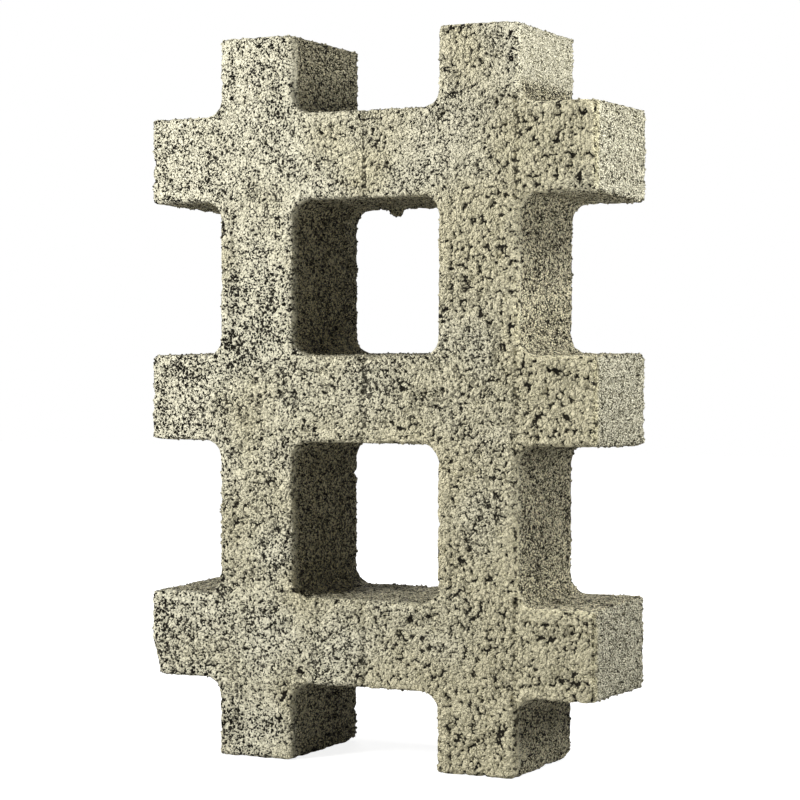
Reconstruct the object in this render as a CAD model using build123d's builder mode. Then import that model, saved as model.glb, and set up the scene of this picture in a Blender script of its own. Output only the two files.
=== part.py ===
from build123d import *
import os

os.makedirs("parts", exist_ok=True)

# Grass paver block, cast in one piece: two uprights crossed by three bars.
# It stands on the lower stubs of its uprights, with its trodden face towards -Y.
# The origin is under the middle of the block, on the surface that it stands on.

# Lattice, with its bars measured on the trodden face
pitch = 133.0
upright_count = 2
crossbar_count = 3
upright_width = 45.0
crossbar_height = 47.2
block_depth = 80.0

# Corners that the mould leaves, and the lean of the walls round the openings,
# which makes every bar a little wider at the bedding face
root_radius = 10.0
stub_corner_radius = 2.2
core_draft_angle = 1.2

# Trodden face: a raised lip follows every edge, with a shallow pan inside it
lip_width = 6.5
lip_round = 1.8
pan_depth = 0.9
pan_slope_angle = 60.0

# Creases that the joints of the pressing shoes leave across the crossbars
crease_width = 4.0
crease_depth = 1.2

# Bedding face: its edge is broken all round, and worn further back at the two
# feet that the block stands on
bedding_chamfer = 1.5
foot_wear_depth = 10.0
foot_wear_rise = 3.0

# How far a cut starts outside the block
overrun = 5.0

# Sizes and planes that follow from those above
block_width = upright_count * pitch
block_height = crossbar_count * pitch
face_y = -block_depth / 2
pan_y = face_y + pan_depth
face_plane = Plane.XZ.offset(-face_y)
bar_feet = [(bar + 0.5) * pitch - crossbar_height / 2 for bar in range(crossbar_count)]
crease_places = (0, (pitch + upright_width) / 2)


# The crossed bars, each drawn smaller all round by the inset
def lattice_bars(inset):
    with Locations((0, block_height / 2)):
        with GridLocations(pitch, block_height, upright_count, 1):
            Rectangle(upright_width - 2 * inset, block_height - 2 * inset)
        with GridLocations(block_width, pitch, 1, crossbar_count):
            Rectangle(block_width - 2 * inset, crossbar_height - 2 * inset)


# What lies furthest out of a list of shapes, left, right, low and high
def outermost(shapes, across, along):
    columns = shapes.group_by(across)
    rows = shapes.group_by(along)
    return columns[0] + columns[-1] + rows[0] + rows[-1]


# An edge between two walls, from the trodden face towards the bedding face
def runs_through_depth(edge):
    direction = edge.tangent_at(0.5)
    return abs(direction.Y) > max(abs(direction.X), abs(direction.Z))


# An edge whose middle is at the outer end of a stub, or on the wear of a foot
def is_at_stub_end(edge):
    middle = edge.position_at(0.5)
    beside = block_width / 2 - abs(middle.X)
    above = block_height / 2 - abs(middle.Z - block_height / 2)
    return min(beside, above) < foot_wear_rise


with BuildPart() as paver_block:
    # Lattice at full depth, with the ends of its stubs square to the face
    with BuildSketch(face_plane):
        lattice_bars(0)
    extrude(amount=-block_depth)
    walls = faces().filter_by(Axis.Y, reverse=True)
    stub_ends = outermost(walls, Axis.X, Axis.Z)
    draft(walls - stub_ends, face_plane, core_draft_angle)

    # Wear across the back of both feet
    bedding_face = faces().sort_by(Axis.Y)[-1]
    chamfer(
        bedding_face.edges().group_by(Axis.Z)[0],
        length=foot_wear_rise,
        length2=foot_wear_depth,
        reference=bedding_face,
    )

    # Roots where bars cross, then the outer corners of the stubs
    wall_edges = edges().filter_by(runs_through_depth)
    fillet(wall_edges.filter_by(is_at_stub_end, reverse=True), root_radius)
    wall_edges = edges().filter_by(runs_through_depth)
    fillet(wall_edges.filter_by(is_at_stub_end), stub_corner_radius)

    # Rounded edge of the trodden face, and broken edge of the bedding face
    fillet(faces().sort_by(Axis.Y)[0].edges(), lip_round)
    chamfer(faces().sort_by(Axis.Y)[-1].edges(), bedding_chamfer)

    # Pan, sloping down from the inner side of the lip
    with BuildSketch(face_plane) as pan:
        lattice_bars(lip_width)
        pan_corners = pan.vertices()
        pan_ends = outermost(pan_corners, Axis.X, Axis.Y)
        fillet(pan_corners - pan_ends, root_radius + lip_width)
    extrude(amount=-pan_depth, taper=pan_slope_angle, mode=Mode.SUBTRACT)

    # Creases across every crossbar, cut down into the floor of the pan
    for bar_foot in bar_feet:
        with BuildSketch(Plane.XY.offset(bar_foot - overrun)):
            with Locations(*[(crease_x, pan_y) for crease_x in crease_places]):
                Polygon(
                    (0, crease_depth),
                    (crease_width / 2, 0),
                    (crease_width / 2, -pan_depth - overrun),
                    (-crease_width / 2, -pan_depth - overrun),
                    (-crease_width / 2, 0),
                    align=None,
                )
        extrude(amount=crossbar_height + 2 * overrun, mode=Mode.SUBTRACT)

paver_block.part.label = "paver_block"
export_step(paver_block.part, "parts/paver_block.step")
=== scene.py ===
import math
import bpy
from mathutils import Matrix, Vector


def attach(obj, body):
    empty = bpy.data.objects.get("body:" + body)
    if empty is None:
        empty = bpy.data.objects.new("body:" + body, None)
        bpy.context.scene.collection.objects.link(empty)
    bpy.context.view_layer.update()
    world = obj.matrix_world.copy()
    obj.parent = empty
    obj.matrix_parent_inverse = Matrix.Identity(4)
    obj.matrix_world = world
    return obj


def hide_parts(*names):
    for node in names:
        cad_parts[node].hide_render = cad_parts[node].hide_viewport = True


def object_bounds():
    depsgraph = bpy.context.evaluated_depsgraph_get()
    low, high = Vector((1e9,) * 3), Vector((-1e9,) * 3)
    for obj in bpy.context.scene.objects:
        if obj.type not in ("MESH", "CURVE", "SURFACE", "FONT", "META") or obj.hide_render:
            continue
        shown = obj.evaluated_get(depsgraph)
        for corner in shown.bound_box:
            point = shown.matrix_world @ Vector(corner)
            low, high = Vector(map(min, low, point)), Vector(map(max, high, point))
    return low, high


bl_info = {
    "name": "Grass paver block",
    "version": (1, 0, 0),
    "blender": (4, 5, 0),
    "location": "View3D > Sidebar > Paver",
    "description": "Casts a grass paver block in open-grained concrete and sets it in a plain studio",
    "category": "Add Mesh",
}

from types import SimpleNamespace

import bpy
from mathutils import Matrix, Vector

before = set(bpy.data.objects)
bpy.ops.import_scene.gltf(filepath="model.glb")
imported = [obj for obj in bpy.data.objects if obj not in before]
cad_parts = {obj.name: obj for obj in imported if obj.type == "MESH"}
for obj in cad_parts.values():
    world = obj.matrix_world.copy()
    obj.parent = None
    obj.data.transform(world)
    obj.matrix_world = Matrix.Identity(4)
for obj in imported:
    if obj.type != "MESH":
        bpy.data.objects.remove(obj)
cad_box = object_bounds()

NODE = "paver_block"
BLOCK_NAME = "paver_block_cast"
GRAINS_NAME = "paver_block_grains"
LOW, HIGH = cad_box
MIDDLE = (LOW + HIGH) / 2
MERGE_DISTANCE = 1e-6
SMOOTH_ANGLE = math.radians(55)


# Damage that the block shows: the corner broken off its lower left stub, given by three points of the
# break, the dent in the head of its right upright, and the crumb that hangs under its top bar

CHIP_POINTS = ((-0.133, -0.040, 0.066), (-0.1275, -0.040, 0.0429), (-0.133, 0.0, 0.0429))
CHIP_CUTTER = 0.05
DENTS = (((0.0865, -0.0415, 0.398), 0.0050),)
DENT_DETAIL = 3
CRUMBS = (((-0.017, 0.037, 0.3062), 0.0034), ((-0.0145, 0.0375, 0.3045), 0.0020))
CRUMB_DETAIL = 2


# Clumps and open patches, shared by the mesh and the material

NOISE_MIDDLE = 0.5
WANDER_SIZE = 0.0024
WANDER_REACH = 0.0015
GRAIN_STRETCH = (1.0, 0.65, 1.0)
OPENING_SIZE = 0.012


# Relief of the mesh. A pair holds the two values between which an effect grows to its full strength.
# Depths are measured from the trodden face.

EDGE_BLUR = 6
EDGE_BENDS = (0.00008, 0.0005)
PIT_OPENING = 0.7
PIT_GAPS = (0.72, 0.95)
CRUMB_SIZE = 0.0035
CRUMB_NOISE = (0.42, 0.70)
FRONT_CRUMBLE = 1.0
BACK_CRUMBLE = 1.8
CLUMP_TOP_SHARE = 0.3
LIP_LIMIT = 0.0004
LIP_BLUR = 9
NEAR_LIP = (0.04, 0.35)
PAN_DEPTHS = (0.0003, 0.0007)
FACING_FORWARD = -0.8


# Loose grains, which lie in patches along the edges, and leave the very foot of the block clear

GRAIN_PATCH_SIZE = 0.02
GRAIN_PATCH_NOISE = (0.28, 0.55)
FRONT_GRAINS = 0.6
BACK_GRAINS = 1.0
GRAIN_WALL_DEPTHS = (0.0015, 0.008)
FOOT_HEIGHTS = (0.001, 0.003)
SCATTER_SEED = 3
TURN_SEED = 5
SIZE_SEED = 7


# Zones of the surface. A pair holds the two places between which a zone grows to its full strength.
# Depths are measured from the trodden face, margins from a side inwards, and drops from the top down.

WALL_DEPTHS = (0.0035, 0.009)
STRIP_DEPTHS = (0.0005, 0.0025)
STRIP_BACK_DEPTHS = (0.006, 0.009)
LIP_DEPTHS = (0.0001, 0.0006)
END_MARGINS = (0.0015, 0.0005)
END_DEPTHS = (0.001, 0.009)

# Joints of the pressing shoes: one in the middle, one in the plane of the right upright's outer wall
JOINT = 0.089
JOINT_DISTANCES = (0.0008, 0.0026)
JOINT_DEPTHS = (0.0010, 0.0014)
JOINT_DEPTH_LIMIT = 0.0028

# The smooth head of that wall, painted lighter as painted light, and the root between the head and the top
# bar, painted darker as a painted shadow
HEAD_WALL_MARGINS = (0.0025, 0.0005)
HEAD_DROPS = (0.036, 0.026)
ROOT_DROPS = (0.0425, 0.0405)
ROOT_TOP_DROPS = (0.034, 0.030)

# How open the trodden face is, from its lower half up to its top
OPEN_HEIGHTS = (0.21, 0.39)
OPEN_BELOW = 1.0
OPEN_ABOVE = -1.3

# How loose the grains of the trodden face lie: more to the right, less higher up, and in wide patches
LOOSE_ACROSS = 4.0
LOOSE_UP = -1.2
LOOSE_PATCH = 2.0
LOOSE_SHIFT = -0.66
LOOSE_PATCH_SIZE = 0.05
LOOSE_RANGE = (-0.3, 0.5)


# Weights and tones of the grain, each on the pressed face, on the loose face and on the walls

GRAVEL_WEIGHTS = (0.28, 0.63, 0.10)
GRIT_WEIGHTS = (0.52, 0.36, 0.44)
SAND_WEIGHTS = (0.34, 0.17, 0.75)
OPENING_WEIGHTS = (0.26, 0.36, 0.26)
BASE_TONES = (0.96, 0.85, 0.84)

# Weights of the grain that are the same all over
DUST_SIZE = 0.00045
CLUMP_WEIGHT = 0.14
TOP_SHIFT = 0.045
CREASE_WEIGHT = 0.10
LIP_CALM = -0.12
LOW_CROWDING = 0.010
LOOSE_CROWDING = -0.02

# Depth among the grains at which the painted shade of a gap starts, and at which it is full
PRESSED_GAPS = (0.43, 0.47)
LOOSE_GAPS = (0.42, 0.56)

# Pores, with radii in their own spacing, painted near black as painted shade
PORE_RADII = (0.20, 0.27)
SPECK_RADII = (0.21, 0.28)
LOW_PORES = 0.03
OPENING_PORES = 0.5
LOOSE_PORES = 0.4
PORE_GAP = 0.16

# Tone, each pair on the trodden face and on the walls
DUST_TONES = (2.2, 6.0)
GRAIN_TONES = (0.24, 2.0)
# The gap tones darken the colour with the depth among the grains, and the blackness sets how far gaps and
# pores are painted towards the pore colour: both are painted shade
GAP_PAINTED_SHADE = (-0.5, -3.3)
PAINTED_BLACKNESS = (1.0, 0.6)
MIDDLE_TONE = 0.5
MIDDLE_GAP = 0.3
TONE_STEPS = (0.3, 0.5, 0.75)

# Tone of the strip, the ends, the head with its painted light, and the corners and root with their painted
# shade
STRIP_CALM = 0.2
END_CALM = 0.55
HEAD_CALM = 0.7
END_TONE = 0.79
HEAD_PAINTED_LIGHT = 0.06
PAINTED_SHADE_TONE = -0.3
PRESSED_WARMTH = 0.25
END_WARMTH = 0.2
SPECULAR = 0.2

# Relief in the shading: gaps shallower than a top are pressed flat
PRESSED_TOP = 0.24
LOOSE_TOP = 0.10
WALL_TOP = -0.15
PRESSED_RELIEF = -1.1
LOOSE_RELIEF = -1.3
DUST_RELIEF = 0.0006


# Studio: each lamp with the setting that holds its power, its place, its aim and its size

LAMPS = (
    ("Key lamp", "key_power", (-0.50, -0.69, 0.60), MIDDLE, 0.3),
    ("Front lamp", "front_power", (0.45, -0.95, 0.30), MIDDLE, 0.6),
    ("High side lamp", "high_power", (0.36, 0.0, 0.50), (0.1, 0.0, 0.28), 0.12),
    ("Low side lamp", "low_power", (0.45, 0.0, 0.25), (0.1, 0.0, 0.25), 0.12),
    ("Back lamp", "back_power", (-0.6, 1.1, 0.6), MIDDLE, 0.5),
)
SENSOR_WIDTH = 36.0
NEAREST_SEEN = 0.01
FLOOR_SIZE = 8.0
FLOOR_GREY = (0.5, 0.5, 0.5, 1.0)
WHITE = (1.0, 1.0, 1.0, 1.0)
SHADOW_REACH = (0.15, 0.5)
SHADOW_WHITE = 0.85


# Sizes and colours that a user would change

class CastSettings(bpy.types.PropertyGroup):
    """Grains and relief of the cast block"""

    voxel: bpy.props.FloatProperty(
        name="Mesh size", description="Spacing of the mesh that takes the relief",
        default=0.0009, unit="LENGTH", precision=5)
    triangle_limit: bpy.props.IntProperty(
        name="Triangles", description="Most triangles that a finished piece may have",
        default=196000)
    clump: bpy.props.FloatProperty(
        name="Clumps", description="Width of the clumps that stand out of the mesh",
        default=0.0046, unit="LENGTH", precision=5)
    gravel: bpy.props.FloatProperty(
        name="Gravel", description="Width of the largest grains",
        default=0.0026, unit="LENGTH", precision=5)
    grit: bpy.props.FloatProperty(
        name="Grit", description="Width of the common grains",
        default=0.0013, unit="LENGTH", precision=5)
    sand: bpy.props.FloatProperty(
        name="Sand", description="Width of the finest grains",
        default=0.0008, unit="LENGTH", precision=5)
    pore: bpy.props.FloatProperty(
        name="Pores", description="Spacing of the larger pores in the pressed face",
        default=0.0030, unit="LENGTH", precision=5)
    speck: bpy.props.FloatProperty(
        name="Specks", description="Spacing of the smaller pores in the pressed face",
        default=0.0017, unit="LENGTH", precision=5)
    clump_relief: bpy.props.FloatProperty(
        name="Clump relief", description="How far the gaps between clumps lie below their tops",
        default=0.0010, unit="LENGTH", precision=5)
    pit_depth: bpy.props.FloatProperty(
        name="Pit depth", description="Depth of the open pits between clumps",
        default=0.0008, unit="LENGTH", precision=5)
    edge_crumble: bpy.props.FloatProperty(
        name="Edge crumble", description="How far the edges are broken back",
        default=0.0015, unit="LENGTH", precision=5)
    edge_grains: bpy.props.FloatProperty(
        name="Edge grains", description="Loose grains on each square metre of a crumbling edge",
        default=420000.0)
    wall_grains: bpy.props.FloatProperty(
        name="Wall grains", description="Loose grains on each square metre of the walls and the back",
        default=16000.0)
    least_grain: bpy.props.FloatProperty(
        name="Least grain", description="Smallest radius of a loose grain",
        default=0.0004, unit="LENGTH", precision=5)
    largest_grain: bpy.props.FloatProperty(
        name="Largest grain", description="Largest radius of a loose grain",
        default=0.0010, unit="LENGTH", precision=5)
    grain_relief: bpy.props.FloatProperty(
        name="Grain relief", description="Height of the grains in the shading",
        default=0.0042, unit="LENGTH", precision=5)


class ConcreteSettings(bpy.types.PropertyGroup):
    """Colours of the concrete, from the painted shade in the depth of a pore to a bright grain"""

    # The pore colour is painted shade in the depth of a pore
    pore: bpy.props.FloatVectorProperty(
        name="Pore", description="Colour in the depth of a pore",
        default=(0.010, 0.008, 0.004), subtype="COLOR", size=3, min=0, max=1)
    # The gap colour is painted shade between the grains
    shadow: bpy.props.FloatVectorProperty(
        name="Gap", description="Colour between the grains",
        default=(0.17, 0.155, 0.092), subtype="COLOR", size=3, min=0, max=1)
    paste: bpy.props.FloatVectorProperty(
        name="Cement paste", description="Colour of the paste that coats the grains",
        default=(0.46, 0.44, 0.305), subtype="COLOR", size=3, min=0, max=1)
    pale: bpy.props.FloatVectorProperty(
        name="Pale grain", description="Colour of the pale grains",
        default=(0.75, 0.72, 0.545), subtype="COLOR", size=3, min=0, max=1)
    bright: bpy.props.FloatVectorProperty(
        name="Bright grain", description="Colour of the brightest grains",
        default=(0.93, 0.89, 0.70), subtype="COLOR", size=3, min=0, max=1)
    warmth: bpy.props.FloatVectorProperty(
        name="Warmth", description="Tint of the loose and of the unpressed surface",
        default=(1.0, 0.962, 0.85), subtype="COLOR", size=3, min=0, max=1)
    roughness: bpy.props.FloatProperty(
        name="Roughness", description="Roughness of the dry surface",
        default=0.95, min=0, max=1)


class StudioSettings(bpy.types.PropertyGroup):
    """Camera, floor and lamps"""

    azimuth: bpy.props.FloatProperty(
        name="Azimuth", description="How far the camera stands to the right of the trodden face",
        default=math.radians(25.18), subtype="ANGLE")
    elevation: bpy.props.FloatProperty(
        name="Elevation", description="How far the camera stands above its aim",
        default=math.radians(0.963), subtype="ANGLE")
    roll: bpy.props.FloatProperty(
        name="Roll", description="Turn of the camera about its own axis",
        default=math.radians(-0.137), subtype="ANGLE")
    distance: bpy.props.FloatProperty(
        name="Distance", description="From the camera to its aim",
        default=1.2732, unit="LENGTH")
    lens: bpy.props.FloatProperty(
        name="Lens", description="Focal length in millimetres on a 36 mm sensor",
        default=102.92)
    aim: bpy.props.FloatVectorProperty(
        name="Aim", description="Point that the camera looks at",
        default=(0.003165, 0.0, 0.198640), subtype="TRANSLATION", size=3)
    key_power: bpy.props.FloatProperty(
        name="Key lamp", description="Power of the lamp at the upper left, in watts", default=9.9)
    front_power: bpy.props.FloatProperty(
        name="Front lamp", description="Power of the soft lamp at the right of the camera, in watts",
        default=0.55)
    high_power: bpy.props.FloatProperty(
        name="High side lamp", description="Power of the upper lamp at the right, in watts", default=1.3)
    low_power: bpy.props.FloatProperty(
        name="Low side lamp", description="Power of the lower lamp at the right, in watts", default=0.94)
    back_power: bpy.props.FloatProperty(
        name="Back lamp", description="Power of the lamp behind the block, in watts", default=5.5)
    fill: bpy.props.FloatProperty(
        name="Fill", description="Strength of the even light from all round", default=0.105)


# Node helpers, used by the relief and by the materials alike

def add_node(tree, kind, values=None, **settings):
    """Adds a node, sets its properties, and sets or links its inputs by name or number"""
    node = tree.nodes.new(kind)
    for name, value in settings.items():
        setattr(node, name, value)
    for name, value in (values or {}).items():
        if isinstance(value, bpy.types.NodeSocket):
            tree.links.new(value, node.inputs[name])
        else:
            node.inputs[name].default_value = value
    return node


def maths(tree, operation, first, second=0.0, third=0.0):
    """The result of one Math node"""
    node = add_node(tree, "ShaderNodeMath", {0: first, 1: second, 2: third}, operation=operation)
    return node.outputs[0]


def times(tree, first, second):
    """The product of two values"""
    return maths(tree, "MULTIPLY", first, second)


def less(tree, first, second):
    """The first value less the second"""
    return maths(tree, "SUBTRACT", first, second)


def larger(tree, first, second):
    """The larger of two values"""
    return maths(tree, "MAXIMUM", first, second)


def plus_times(tree, start, factor, weight):
    """The start plus the factor times its weight"""
    return maths(tree, "MULTIPLY_ADD", factor, weight, start)


def square(tree, value):
    """The value times itself"""
    return times(tree, value, value)


def blend(tree, factor, low, high):
    """From low at a factor of 0 to high at 1"""
    return plus_times(tree, low, factor, less(tree, high, low))


def ramp(tree, value, low, high, to_low=0.0, to_high=1.0):
    """A smooth step of the value from low to high"""
    node = add_node(tree, "ShaderNodeMapRange", {"Value": value, "From Min": low, "From Max": high,
                                                 "To Min": to_low, "To Max": to_high},
                    interpolation_type="SMOOTHSTEP")
    return node.outputs["Result"]


def depth_ramp(tree, depth, depths, to_low=0.0, to_high=1.0):
    """A smooth step between two depths behind the trodden face"""
    return ramp(tree, depth, LOW.y + depths[0], LOW.y + depths[1], to_low, to_high)


def vector_maths(tree, operation, first, second=(0.0, 0.0, 0.0)):
    """The result of one Vector Math node"""
    node = add_node(tree, "ShaderNodeVectorMath", {0: first, 1: second}, operation=operation)
    return node.outputs["Value" if operation in ("LENGTH", "DOT_PRODUCT") else "Vector"]


def mix_colour(tree, factor, first, second, way="MIX"):
    """The colour result of one Mix node, between the colour of a socket and a plain one"""
    node = add_node(tree, "ShaderNodeMix", {0: factor, 6: first, 7: (*second, 1.0)},
                    data_type="RGBA", blend_type=way)
    return node.outputs[2]


def noise(tree, place, width, detail=2.0, roughness=0.5):
    """Value and colour of a Noise Texture node"""
    node = add_node(tree, "ShaderNodeTexNoise", {"Vector": place, "Scale": 1.0 / width, "Detail": detail,
                                                 "Roughness": roughness})
    return node.outputs[0], node.outputs[1]


def cells(tree, place, width):
    """Distance from the middle of a grain in grain widths, and the grain's own tone from 0 to 1"""
    node = add_node(tree, "ShaderNodeTexVoronoi", {"Vector": place, "Scale": 1.0 / width})
    tone = add_node(tree, "ShaderNodeSeparateXYZ", {0: node.outputs["Color"]}).outputs[0]
    return node.outputs["Distance"], tone


def clump_field(tree, place, cast):
    """The place pushed about so that grains aren't round, how open it is, and the depth among the clumps"""
    _, wander = noise(tree, place, WANDER_SIZE)
    wander = vector_maths(tree, "SUBTRACT", wander, (NOISE_MIDDLE,) * 3)
    wander = vector_maths(tree, "MULTIPLY", wander, (WANDER_REACH,) * 3)
    spot = vector_maths(tree, "ADD", place, wander)
    spot = vector_maths(tree, "MULTIPLY", spot, GRAIN_STRETCH)
    opening, _ = noise(tree, place, OPENING_SIZE, roughness=0.6)
    opening = less(tree, opening, NOISE_MIDDLE)
    clump, _ = cells(tree, spot, cast.clump)
    return spot, opening, clump


# The cast block

def new_piece(name, mesh):
    """A new object with its own copy of a mesh, and nothing else selected"""
    bpy.ops.object.select_all(action="DESELECT")
    piece = bpy.data.objects.new(name, mesh.copy())
    bpy.context.scene.collection.objects.link(piece)
    bpy.context.view_layer.objects.active = piece
    piece.select_set(True)
    piece.data.materials.clear()
    return piece


def merge_points():
    """Merges the loose triangles of the active piece"""
    bpy.ops.object.mode_set(mode="EDIT")
    bpy.ops.mesh.select_all(action="SELECT")
    bpy.ops.mesh.remove_doubles(threshold=MERGE_DISTANCE)
    bpy.ops.mesh.normals_make_consistent(inside=False)
    bpy.ops.object.mode_set(mode="OBJECT")


def apply_modifier(piece, kind, **settings):
    """Adds a modifier with these settings and applies it"""
    modifier = piece.modifiers.new(kind.title(), kind)
    for name, value in settings.items():
        setattr(modifier, name, value)
    bpy.ops.object.modifier_apply(modifier=modifier.name)


def corner_cutter():
    """A cube with one face on the break of the lower left stub"""
    corner = [Vector(point) for point in CHIP_POINTS]
    outward = (corner[2] - corner[0]).cross(corner[1] - corner[0]).normalized()
    middle = (corner[0] + corner[1] + corner[2]) / 3
    bpy.ops.mesh.primitive_cube_add(size=CHIP_CUTTER, location=middle + outward * CHIP_CUTTER / 2,
                                    rotation=outward.to_track_quat("Z", "Y").to_euler())
    return bpy.context.object


def ball(place, radius, subdivisions):
    """A ball of triangles"""
    bpy.ops.mesh.primitive_ico_sphere_add(subdivisions=subdivisions, radius=radius, location=place)
    return bpy.context.object


def damage(block):
    """Cuts the broken corner and the dent out of the block, and adds the crumb under its top bar"""
    cutters = [corner_cutter()]
    for place, radius in DENTS:
        cutters.append(ball(place, radius, DENT_DETAIL))
    bpy.ops.object.select_all(action="DESELECT")
    bpy.context.view_layer.objects.active = block
    for cutter in cutters:
        apply_modifier(block, "BOOLEAN", object=cutter, operation="DIFFERENCE")
        bpy.data.objects.remove(cutter)
    crumbs = [ball(place, radius, CRUMB_DETAIL) for place, radius in CRUMBS]
    bpy.ops.object.select_all(action="DESELECT")
    for piece in (block, *crumbs):
        piece.select_set(True)
    bpy.context.view_layer.objects.active = block
    bpy.ops.object.join()


def geometry_tree(name):
    """A new tree of geometry nodes, with the socket that gives the mesh and the one that takes the result"""
    tree = bpy.data.node_groups.new(name, "GeometryNodeTree")
    for way in ("INPUT", "OUTPUT"):
        tree.interface.new_socket("Geometry", in_out=way, socket_type="NodeSocketGeometry")
    source = tree.nodes.new("NodeGroupInput").outputs[0]
    result = tree.nodes.new("NodeGroupOutput").inputs[0]
    return tree, source, result


def value_socket(sockets, kind):
    """The socket called Value that has this type"""
    return next(socket for socket in sockets if socket.name == "Value" and socket.type == kind)


def blurred(tree, value, kind, steps):
    """The value, averaged with that of the points around it"""
    node = add_node(tree, "GeometryNodeBlurAttribute", {"Iterations": steps},
                    data_type="FLOAT_VECTOR" if kind == "VECTOR" else "FLOAT")
    tree.links.new(value, value_socket(node.inputs, kind))
    return value_socket(node.outputs, kind)


def stored(tree, geometry, name, value, kind):
    """The geometry, with the value kept on its points under a name"""
    node = add_node(tree, "GeometryNodeStoreNamedAttribute", {"Name": name, "Geometry": geometry},
                    data_type="FLOAT_VECTOR" if kind == "VECTOR" else "FLOAT", domain="POINT")
    tree.links.new(value, value_socket(node.inputs, kind))
    return node.outputs[0]


def outer_edges(tree, place, normal):
    """1 at an outer edge, 0 where the surface is flat or hollow"""
    inward = vector_maths(tree, "SUBTRACT", place, blurred(tree, place, "VECTOR", EDGE_BLUR))
    return ramp(tree, vector_maths(tree, "DOT_PRODUCT", inward, normal), *EDGE_BENDS)


def relief_height(tree, place, depth, edge, cast):
    """Clumps with pits between them, and crumbling edges, worst at the bedding face"""
    _, opening, clump = clump_field(tree, place, cast)
    pit = ramp(tree, plus_times(tree, clump, opening, PIT_OPENING), *PIT_GAPS)
    crumb, _ = noise(tree, place, CRUMB_SIZE, detail=3.0, roughness=0.6)
    broken = times(tree, edge, ramp(tree, crumb, *CRUMB_NOISE))
    broken = times(tree, broken, ramp(tree, depth, 0.0, HIGH.y, FRONT_CRUMBLE, BACK_CRUMBLE))
    height = plus_times(tree, CLUMP_TOP_SHARE * cast.clump_relief, square(tree, clump), -cast.clump_relief)
    height = plus_times(tree, height, pit, -cast.pit_depth)
    return plus_times(tree, height, broken, -cast.edge_crumble)


def lip_valley(tree, depth, facing):
    """The floor of the pan close to the lip, where the shoe left the grains open"""
    near = blurred(tree, maths(tree, "LESS_THAN", depth, LOW.y + LIP_LIMIT), "VALUE", LIP_BLUR)
    valley = ramp(tree, near, *NEAR_LIP)
    valley = times(tree, valley, depth_ramp(tree, depth, PAN_DEPTHS))
    return times(tree, valley, maths(tree, "LESS_THAN", facing, FACING_FORWARD))


def relief_tree(cast):
    """Geometry nodes that press clumps and pits into the block, and keep where each point was cast"""
    tree, geometry, result = geometry_tree("Grain relief")
    place = tree.nodes.new("GeometryNodeInputPosition").outputs[0]
    normal = tree.nodes.new("GeometryNodeInputNormal").outputs[0]
    depth = add_node(tree, "ShaderNodeSeparateXYZ", {0: place}).outputs[1]
    facing = add_node(tree, "ShaderNodeSeparateXYZ", {0: normal}).outputs[1]
    edge = outer_edges(tree, place, normal)
    move = vector_maths(tree, "SCALE", normal)
    tree.links.new(relief_height(tree, place, depth, edge, cast), move.node.inputs["Scale"])
    geometry = stored(tree, geometry, "cast_place", place, "VECTOR")
    geometry = stored(tree, geometry, "valley", lip_valley(tree, depth, facing), "VALUE")
    geometry = stored(tree, geometry, "edge", edge, "VALUE")
    shifted = add_node(tree, "GeometryNodeSetPosition", {"Geometry": geometry, "Offset": move})
    tree.links.new(shifted.outputs[0], result)
    return tree


# Loose grains

def random_vector(tree, least, most, seed):
    """A random vector for each point, between two numbers on every axis"""
    node = add_node(tree, "FunctionNodeRandomValue", {0: (least,) * 3, 1: (most,) * 3, "Seed": seed},
                    data_type="FLOAT_VECTOR")
    return node.outputs[0]


def grain_density(tree, place, cast):
    """Loose grains on each square metre, most along the edges"""
    _, depth, above = add_node(tree, "ShaderNodeSeparateXYZ", {0: place}).outputs
    edge = add_node(tree, "GeometryNodeInputNamedAttribute", {"Name": "edge"}, data_type="FLOAT").outputs[0]
    patch, _ = noise(tree, place, GRAIN_PATCH_SIZE)
    edge = times(tree, edge, ramp(tree, patch, *GRAIN_PATCH_NOISE))
    edge = times(tree, edge, ramp(tree, depth, LOW.y, HIGH.y, FRONT_GRAINS, BACK_GRAINS))
    wall = depth_ramp(tree, depth, GRAIN_WALL_DEPTHS)
    density = plus_times(tree, times(tree, edge, cast.edge_grains), wall, cast.wall_grains)
    return times(tree, density, ramp(tree, above, LOW.z + FOOT_HEIGHTS[0], LOW.z + FOOT_HEIGHTS[1]))


def loose_grain_tree(cast):
    """Geometry nodes that stud a block with loose grains, and leave only the grains"""
    tree, block, result = geometry_tree("Loose grains")
    place = tree.nodes.new("GeometryNodeInputPosition").outputs[0]
    points = add_node(tree, "GeometryNodeDistributePointsOnFaces",
                      {"Mesh": block, "Density": grain_density(tree, place, cast), "Seed": SCATTER_SEED})
    grain = add_node(tree, "GeometryNodeMeshIcoSphere", {"Radius": 1.0, "Subdivisions": 1})
    placed = add_node(tree, "GeometryNodeInstanceOnPoints",
                      {"Points": points.outputs[0], "Instance": grain.outputs[0],
                       "Rotation": random_vector(tree, 0.0, math.tau, TURN_SEED),
                       "Scale": random_vector(tree, cast.least_grain, cast.largest_grain, SIZE_SEED)})
    grains = add_node(tree, "GeometryNodeRealizeInstances", {"Geometry": placed.outputs[0]})
    tree.links.new(stored(tree, grains.outputs[0], "cast_place", place, "VECTOR"), result)
    return tree


# The concrete

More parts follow.
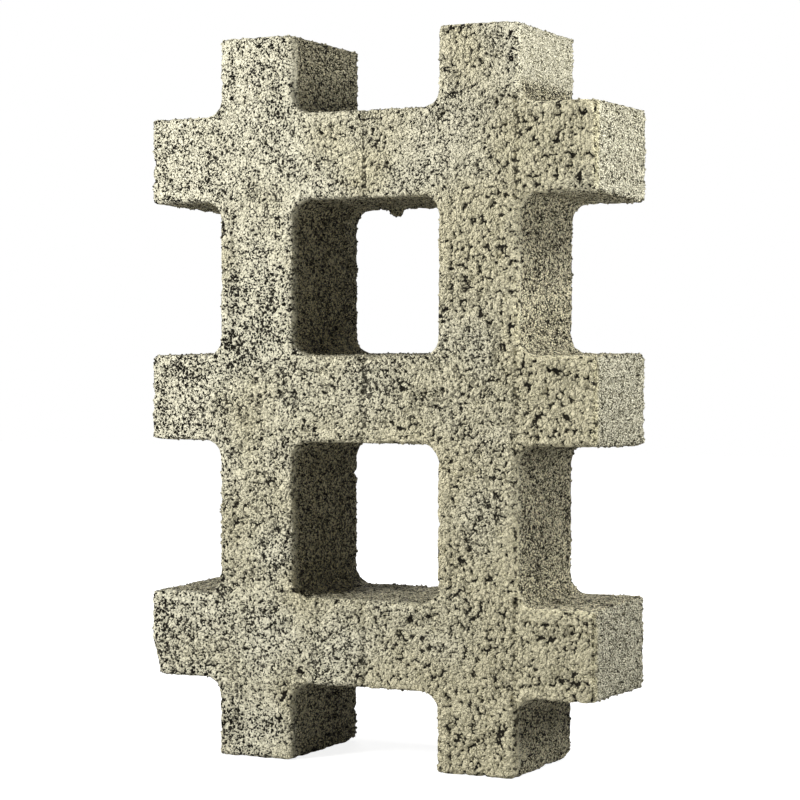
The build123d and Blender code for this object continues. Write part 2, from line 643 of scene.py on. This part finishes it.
def wall_zones(tree, across, depth, above):
    """The walls, the smoother strip of them behind the trodden face, the ends of the stubs with their front
    corners, which get painted shade, and the head and root of the right upright's outer wall, which get
    painted light and a painted shadow"""
    wall = depth_ramp(tree, depth, WALL_DEPTHS)
    strip = less(tree, depth_ramp(tree, depth, STRIP_DEPTHS), depth_ramp(tree, depth, STRIP_BACK_DEPTHS))
    end = ramp(tree, maths(tree, "ABSOLUTE", across), HIGH.x - END_MARGINS[0], HIGH.x - END_MARGINS[1])
    behind = depth_ramp(tree, depth, END_DEPTHS)
    corner = times(tree, end, less(tree, 1.0, behind))
    end = times(tree, end, behind)
    head_wall = ramp(tree, across, JOINT - HEAD_WALL_MARGINS[0], JOINT - HEAD_WALL_MARGINS[1])
    head_wall = times(tree, wall, head_wall)
    head = times(tree, ramp(tree, above, HIGH.z - HEAD_DROPS[0], HIGH.z - HEAD_DROPS[1]), head_wall)
    root = less(tree, ramp(tree, above, HIGH.z - ROOT_DROPS[0], HIGH.z - ROOT_DROPS[1]),
                ramp(tree, above, HIGH.z - ROOT_TOP_DROPS[0], HIGH.z - ROOT_TOP_DROPS[1]))
    root = times(tree, root, head_wall)
    return wall, strip, end, corner, head, root


def joint_zone(tree, across, depth):
    """The creases where the pressing shoes met"""
    distance = maths(tree, "MINIMUM", maths(tree, "ABSOLUTE", across),
                     maths(tree, "ABSOLUTE", less(tree, across, JOINT)))
    joint = times(tree, ramp(tree, distance, *JOINT_DISTANCES, 1.0, 0.0),
                  depth_ramp(tree, depth, JOINT_DEPTHS))
    return times(tree, joint, maths(tree, "LESS_THAN", depth, LOW.y + JOINT_DEPTH_LIMIT))


def loose_zone(tree, place, across, above, wall):
    """How loose the grains lie on the trodden face"""
    patch, _ = noise(tree, place, LOOSE_PATCH_SIZE, detail=1.0)
    loose = plus_times(tree, plus_times(tree, LOOSE_SHIFT, patch, LOOSE_PATCH), across, LOOSE_ACROSS)
    loose = ramp(tree, plus_times(tree, loose, above, LOOSE_UP), *LOOSE_RANGE)
    return times(tree, loose, less(tree, 1.0, wall))


def surface_zones(tree, place):
    """All the zones of the surface, by name"""
    across, depth, above = add_node(tree, "ShaderNodeSeparateXYZ", {0: place}).outputs
    wall, strip, end, corner, head, root = wall_zones(tree, across, depth, above)
    loose = loose_zone(tree, place, across, above, wall)
    valley = add_node(tree, "ShaderNodeAttribute", attribute_name="valley").outputs["Fac"]
    return SimpleNamespace(
        wall=wall, strip=strip, end=end, corner=corner, head=head, root=root, loose=loose,
        crease=larger(tree, valley, joint_zone(tree, across, depth)),
        lip=times(tree, depth_ramp(tree, depth, LIP_DEPTHS, 1.0, 0.0), loose),
        open_low=ramp(tree, above, *OPEN_HEIGHTS, OPEN_BELOW, OPEN_ABOVE))


def by_surface(tree, zones, weights):
    """A weight that differs between the pressed face, the loose face and the walls"""
    pressed, loose, wall = weights
    return blend(tree, zones.wall, blend(tree, zones.loose, pressed, loose), wall)


def grain_gaps(tree, cast, zones, spot, opening, clump):
    """Depth among the grains, from 0 on a top to about 0.4 where a gap starts, and each grain's own tone"""
    gravel, _ = cells(tree, spot, cast.gravel)
    grit, tone = cells(tree, spot, cast.grit)
    sand, _ = cells(tree, spot, cast.sand)
    gap = times(tree, square(tree, gravel), by_surface(tree, zones, GRAVEL_WEIGHTS))
    gap = plus_times(tree, gap, square(tree, grit), by_surface(tree, zones, GRIT_WEIGHTS))
    gap = plus_times(tree, gap, square(tree, sand), by_surface(tree, zones, SAND_WEIGHTS))
    gap = plus_times(tree, less(tree, gap, TOP_SHIFT), square(tree, clump), CLUMP_WEIGHT)
    gap = plus_times(tree, gap, opening, by_surface(tree, zones, OPENING_WEIGHTS))
    gap = plus_times(tree, gap, zones.crease, CREASE_WEIGHT)
    return times(tree, gap, plus_times(tree, 1.0, zones.lip, LIP_CALM)), tone


def painted_gap_shade(tree, zones, gap):
    """Painted shade between the grains: how dark the gaps are drawn"""
    crowded = plus_times(tree, gap, zones.loose, LOOSE_CROWDING)
    crowded = plus_times(tree, crowded, zones.open_low, LOW_CROWDING)
    start = blend(tree, zones.loose, PRESSED_GAPS[0], LOOSE_GAPS[0])
    full = blend(tree, zones.loose, PRESSED_GAPS[1], LOOSE_GAPS[1])
    return ramp(tree, crowded, start, full)


def pore_mask(tree, spot, spacing, radii, widened):
    """1 in the pores that have this spacing, 0 between them"""
    distance, _ = cells(tree, spot, spacing)
    return ramp(tree, less(tree, distance, widened), *radii, 1.0, 0.0)


def small_pores(tree, cast, zones, spot, opening):
    """Small pores that stand apart where the face was pressed, wider where it is open; they are painted dark
    as painted shade and sunk in the bump
    """
    widened = plus_times(tree, times(tree, opening, OPENING_PORES), zones.open_low, LOW_PORES)
    pores = larger(tree, pore_mask(tree, spot, cast.pore, PORE_RADII, widened),
                   pore_mask(tree, spot, cast.speck, SPECK_RADII, widened))
    pores = times(tree, pores, blend(tree, zones.loose, 1.0, LOOSE_PORES))
    return times(tree, pores, less(tree, 1.0, zones.wall))


def grain_tone(tree, zones, steady, gap, tone, dust):
    """Tone of the grains, from 0 in the depth of a pore to 1 on a bright grain, with painted shade in the
    gaps, the root and the front corners of the stub ends, and painted light on the head
    """
    level = times(tree, dust, blend(tree, zones.wall, *DUST_TONES))
    level = plus_times(tree, level, less(tree, tone, MIDDLE_TONE), blend(tree, zones.wall, *GRAIN_TONES))
    level = plus_times(tree, level, less(tree, gap, MIDDLE_GAP), blend(tree, zones.wall, *GAP_PAINTED_SHADE))
    base = blend(tree, zones.end, by_surface(tree, zones, BASE_TONES), END_TONE)
    # The head is lightened in the colour: painted light
    base = plus_times(tree, base, zones.head, HEAD_PAINTED_LIGHT)
    # The front corners of the stub ends and the root are darkened in the colour: painted shade
    base = plus_times(tree, base, larger(tree, zones.corner, zones.root), PAINTED_SHADE_TONE)
    return plus_times(tree, base, level, steady)


def concrete_colour(tree, colours, zones, level, pore_and_gap_shade):
    """Colour of the concrete from its tone and from the painted shade of its gaps and pores"""
    shade = add_node(tree, "ShaderNodeValToRGB", {0: level})
    steps = shade.color_ramp.elements
    for position in TONE_STEPS:
        steps.new(position)
    step_colours = (colours.pore, colours.shadow, colours.paste, colours.pale, colours.bright)
    for step, colour in zip(steps, step_colours):
        step.color = (*colour, 1.0)
    # Gaps and pores are painted towards the pore colour as painted shade
    shade = mix_colour(tree, pore_and_gap_shade, shade.outputs[0], colours.pore)
    warm = times(tree, zones.wall, blend(tree, larger(tree, zones.end, zones.head), 1.0, END_WARMTH))
    warm = larger(tree, warm, blend(tree, zones.loose, PRESSED_WARMTH, 1.0))
    return mix_colour(tree, warm, shade, colours.warmth, "MULTIPLY")


def grain_bump(tree, cast, zones, gap, dust):
    """Relief finer than the mesh, with tops that are flat where they were pressed"""
    top = plus_times(tree, blend(tree, zones.loose, PRESSED_TOP, LOOSE_TOP), zones.wall, WALL_TOP)
    sunk = larger(tree, less(tree, gap, top), 0.0)
    relief = blend(tree, zones.loose, PRESSED_RELIEF * cast.grain_relief, LOOSE_RELIEF * cast.grain_relief)
    height = plus_times(tree, times(tree, sunk, relief), dust, DUST_RELIEF)
    return add_node(tree, "ShaderNodeBump", {"Height": height, "Distance": 1.0, "Strength": 1.0}).outputs[0]


def concrete(cast, colours):
    """Dry, open-grained concrete, pressed at the upper left, loose at the lower right, rough on the walls"""
    material = bpy.data.materials.new("Open-grained concrete")
    material.use_nodes = True
    tree = material.node_tree
    place = add_node(tree, "ShaderNodeAttribute", attribute_name="cast_place").outputs["Vector"]
    zones = surface_zones(tree, place)
    spot, opening, clump = clump_field(tree, place, cast)
    dust, _ = noise(tree, spot, DUST_SIZE, detail=1.0)
    dust = less(tree, dust, NOISE_MIDDLE)

    gap, tone = grain_gaps(tree, cast, zones, spot, opening, clump)
    pores = small_pores(tree, cast, zones, spot, opening)
    # The gaps and pores are painted dark: painted shade where the real gaps and pores would lie in shadow
    dark = larger(tree, painted_gap_shade(tree, zones, gap), pores)
    gap = plus_times(tree, gap, pores, PORE_GAP)

    calm = larger(tree, times(tree, zones.strip, STRIP_CALM), times(tree, zones.end, END_CALM))
    calm = larger(tree, calm, times(tree, zones.head, HEAD_CALM))
    steady = less(tree, 1.0, calm)
    level = grain_tone(tree, zones, steady, gap, tone, dust)
    pore_and_gap_shade = times(tree, times(tree, dark, steady), blend(tree, zones.wall, *PAINTED_BLACKNESS))

    shader = tree.nodes["Principled BSDF"]
    shader.inputs["Roughness"].default_value = colours.roughness
    shader.inputs["Specular IOR Level"].default_value = SPECULAR
    tree.links.new(concrete_colour(tree, colours, zones, level, pore_and_gap_shade), shader.inputs["Base Color"])
    tree.links.new(grain_bump(tree, cast, zones, gap, dust), shader.inputs["Normal"])
    return material


class PAVER_OT_cast_block(bpy.types.Operator):
    """Cast the block: grain its surface, thin its mesh and give it the concrete"""

    bl_idname = "paver.cast_block"
    bl_label = "Cast block"

    def execute(self, context):
        cast = context.scene.paver_cast
        block = new_piece(BLOCK_NAME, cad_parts[NODE].data)
        merge_points()
        damage(block)
        apply_modifier(block, "REMESH", mode="VOXEL", voxel_size=cast.voxel, adaptivity=0.0)
        apply_modifier(block, "NODES", node_group=relief_tree(cast))
        triangles = 2 * len(block.data.polygons)
        apply_modifier(block, "DECIMATE", ratio=min(1.0, cast.triangle_limit / triangles))
        bpy.ops.object.shade_smooth_by_angle(angle=SMOOTH_ANGLE)
        block.data.materials.append(concrete(cast, context.scene.paver_concrete))
        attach(block, "root")
        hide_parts(NODE)
        return {"FINISHED"}


class PAVER_OT_loose_grains(bpy.types.Operator):
    """Stud the cast block with loose grains along its edges and on its walls"""

    bl_idname = "paver.loose_grains"
    bl_label = "Loose grains"

    def execute(self, context):
        cast = context.scene.paver_cast
        block = bpy.data.objects[BLOCK_NAME]
        grains = new_piece(GRAINS_NAME, block.data)
        apply_modifier(grains, "NODES", node_group=loose_grain_tree(cast))
        if len(grains.data.polygons) > cast.triangle_limit:
            raise RuntimeError("the loose grains have more triangles than the limit")
        bpy.ops.object.shade_smooth_by_angle(angle=SMOOTH_ANGLE)
        # The modifier leaves an empty material slot behind
        grains.data.materials.clear()
        grains.data.materials.append(block.data.materials[0])
        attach(grains, "root")
        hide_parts(NODE)
        return {"FINISHED"}


# The studio

def set_lamps(studio):
    """A key lamp at the upper left, a soft one in front, two small ones at the right and one behind"""
    for name, power, place, aim, size in LAMPS:
        bpy.ops.object.light_add(type="AREA", location=place)
        lamp = bpy.context.object
        lamp.name = name
        lamp.data.shape = "SQUARE"
        lamp.data.size = size
        lamp.data.energy = getattr(studio, power)
        lamp.rotation_euler = (Vector(aim) - Vector(place)).to_track_quat("-Z", "Y").to_euler()


def set_camera(studio):
    """The camera at the photograph's angle"""
    sideways, upwards = studio.azimuth, studio.elevation
    towards = Vector((-math.sin(sideways) * math.cos(upwards), math.cos(sideways) * math.cos(upwards),
                      -math.sin(upwards)))
    bpy.ops.object.camera_add(location=Vector(studio.aim) - towards * studio.distance)
    camera = bpy.context.object
    camera.name = "Camera"
    camera.data.lens = studio.lens
    camera.data.sensor_width = SENSOR_WIDTH
    camera.data.clip_start = NEAREST_SEEN
    turn = towards.to_track_quat("-Z", "Y").to_matrix() @ Matrix.Rotation(-studio.roll, 3, "Z")
    camera.rotation_euler = turn.to_euler()
    bpy.context.scene.camera = camera


def floor_material():
    """White floor that keeps the shadow near the block, and is plain white to the camera further off"""
    material = bpy.data.materials.new("Studio floor")
    material.use_nodes = True
    tree = material.node_tree
    shader = tree.nodes["Principled BSDF"]
    shader.inputs["Base Color"].default_value = FLOOR_GREY
    shader.inputs["Roughness"].default_value = 1.0
    shader.inputs["Specular IOR Level"].default_value = 0.0
    shader.inputs["Emission Color"].default_value = WHITE
    seen = tree.nodes.new("ShaderNodeLightPath").outputs["Is Camera Ray"]
    place = tree.nodes.new("ShaderNodeTexCoord").outputs["Object"]
    lift = ramp(tree, vector_maths(tree, "LENGTH", place), *SHADOW_REACH, SHADOW_WHITE, 1.0)
    tree.links.new(times(tree, seen, lift), shader.inputs["Emission Strength"])
    return material


def set_world(studio):
    """Even fill light, with a plain white background for the camera"""
    world = bpy.data.worlds.new("Studio")
    bpy.context.scene.world = world
    world.use_nodes = True
    tree = world.node_tree
    path = tree.nodes.new("ShaderNodeLightPath").outputs
    seen = larger(tree, path["Is Camera Ray"],
                  larger(tree, path["Is Glossy Ray"], path["Is Transmission Ray"]))
    strength = add_node(tree, "ShaderNodeMix", {0: seen, 2: studio.fill, 3: 1.0}).outputs[0]
    background = tree.nodes["Background"]
    background.inputs["Color"].default_value = WHITE
    tree.links.new(strength, background.inputs["Strength"])


class PAVER_OT_studio(bpy.types.Operator):
    """Set the block on a pale floor in plain studio light, with the camera at the photograph's angle"""

    bl_idname = "paver.studio"
    bl_label = "Studio"

    def execute(self, context):
        studio = context.scene.paver_studio
        bpy.ops.object.select_all(action="DESELECT")
        set_camera(studio)
        bpy.ops.mesh.primitive_plane_add(size=FLOOR_SIZE, location=(0.0, 0.0, LOW.z))
        floor = bpy.context.object
        floor.name = "Floor"
        bpy.ops.object.transform_apply(location=True, rotation=True, scale=True)
        floor.data.materials.append(floor_material())
        set_world(studio)
        set_lamps(studio)
        context.scene.view_settings.view_transform = "Standard"
        return {"FINISHED"}


class PAVER_PT_panel(bpy.types.Panel):
    """Sizes, colours and lamps of the paver scene"""

    bl_idname = "PAVER_PT_panel"
    bl_label = "Grass paver block"
    bl_space_type = "VIEW_3D"
    bl_region_type = "UI"
    bl_category = "Paver"

    def draw(self, context):
        scene = context.scene
        for group, operators in (
            (scene.paver_cast, ("paver.cast_block", "paver.loose_grains")),
            (scene.paver_concrete, ()),
            (scene.paver_studio, ("paver.studio",)),
        ):
            box = self.layout.box()
            for name in group.bl_rna.properties.keys():
                if name not in ("rna_type", "name"):
                    box.prop(group, name)
            for operator in operators:
                box.operator(operator)


CLASSES = (CastSettings, ConcreteSettings, StudioSettings, PAVER_OT_cast_block, PAVER_OT_loose_grains,
           PAVER_OT_studio, PAVER_PT_panel)


def register():
    """Makes the operators, the panel and the settings known"""
    for cls in CLASSES:
        bpy.utils.register_class(cls)
    bpy.types.Scene.paver_cast = bpy.props.PointerProperty(type=CastSettings)
    bpy.types.Scene.paver_concrete = bpy.props.PointerProperty(type=ConcreteSettings)
    bpy.types.Scene.paver_studio = bpy.props.PointerProperty(type=StudioSettings)


def unregister():
    """Takes back what register made known"""
    del bpy.types.Scene.paver_studio
    del bpy.types.Scene.paver_concrete
    del bpy.types.Scene.paver_cast
    for cls in reversed(CLASSES):
        bpy.utils.unregister_class(cls)


def main():
    """Builds the whole scene"""
    register()
    bpy.ops.paver.cast_block()
    bpy.ops.paver.loose_grains()
    bpy.ops.paver.studio()


if __name__ == "__main__":
    main()
